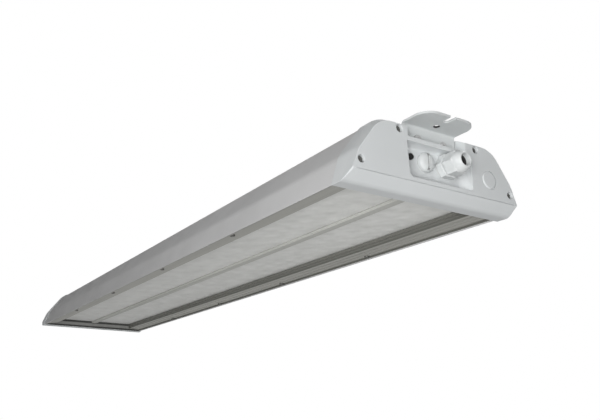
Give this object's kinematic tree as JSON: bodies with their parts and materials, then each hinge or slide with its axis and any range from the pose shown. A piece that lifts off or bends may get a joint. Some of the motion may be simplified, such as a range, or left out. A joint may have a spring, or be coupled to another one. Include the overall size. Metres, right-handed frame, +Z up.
{
  "type": "linear industrial light",
  "caption": "Linear industrial LED light: a sloping-sided housing with end caps, lens panels in the underside, a cable gland and folded hanging brackets at the ends.",
  "frame": {"origin": "midway between the round holes of the hanging brackets, on the top face of the bracket flanges", "axes": "+X along the light towards the end with the cable gland, +Z up towards the ceiling, +Y across"},
  "size_m": [1.245, 0.2284, 0.0805],
  "materials": {
    "housing_paint": "satin light grey powder coat",
    "cap_paint": "satin light grey powder coat",
    "bracket_paint": "satin light grey powder coat",
    "rail_metal": "bare extruded aluminium",
    "lens": "moulded clear lens with small lenslets, satin",
    "led_board": "white solder mask on a metal core",
    "gasket": "dark sealing rubber",
    "steel": "plain stainless",
    "entry_plastic": "light grey moulded",
    "black_plastic": "black moulded",
    "driver_case": "plain sheet",
    "terminal_plastic": "white moulded",
    "lead_cover": "dark lead insulation"
  },
  "bodies": {
    "root": {"housing": "housing_paint", "end_cap_supply": "cap_paint", "end_cap_far": "cap_paint", "end_gasket_supply": "gasket", "end_gasket_far": "gasket", "end_cap_screws_supply": "steel", "end_cap_screws_far": "steel", "bracket_supply": "bracket_paint", "bracket_far": "bracket_paint", "bracket_screws_supply": "steel", "bracket_screws_far": "steel", "rail_left": "rail_metal", "rail_right": "rail_metal", "rail_screws_left": "steel", "rail_screws_right": "steel", "lens_left": "lens", "lens_right": "lens", "lens_seal_left": "gasket", "lens_seal_right": "gasket", "led_board_left_1": "led_board", "led_board_left_2": "led_board", "led_board_left_3": "led_board", "led_board_left_4": "led_board", "led_board_right_1": "led_board", "led_board_right_2": "led_board", "led_board_right_3": "led_board", "led_board_right_4": "led_board", "gland_body": "entry_plastic", "gland_nut": "entry_plastic", "gland_seal": "gasket", "gland_washer": "gasket", "blanking_plug": "entry_plastic", "plug_washer": "gasket", "vent_plug": "black_plastic", "led_driver": "driver_case", "driver_screws": "steel", "terminal_block": "terminal_plastic", "mains_leads": "lead_cover", "output_leads": "lead_cover"}
  },
  "joints": []
}
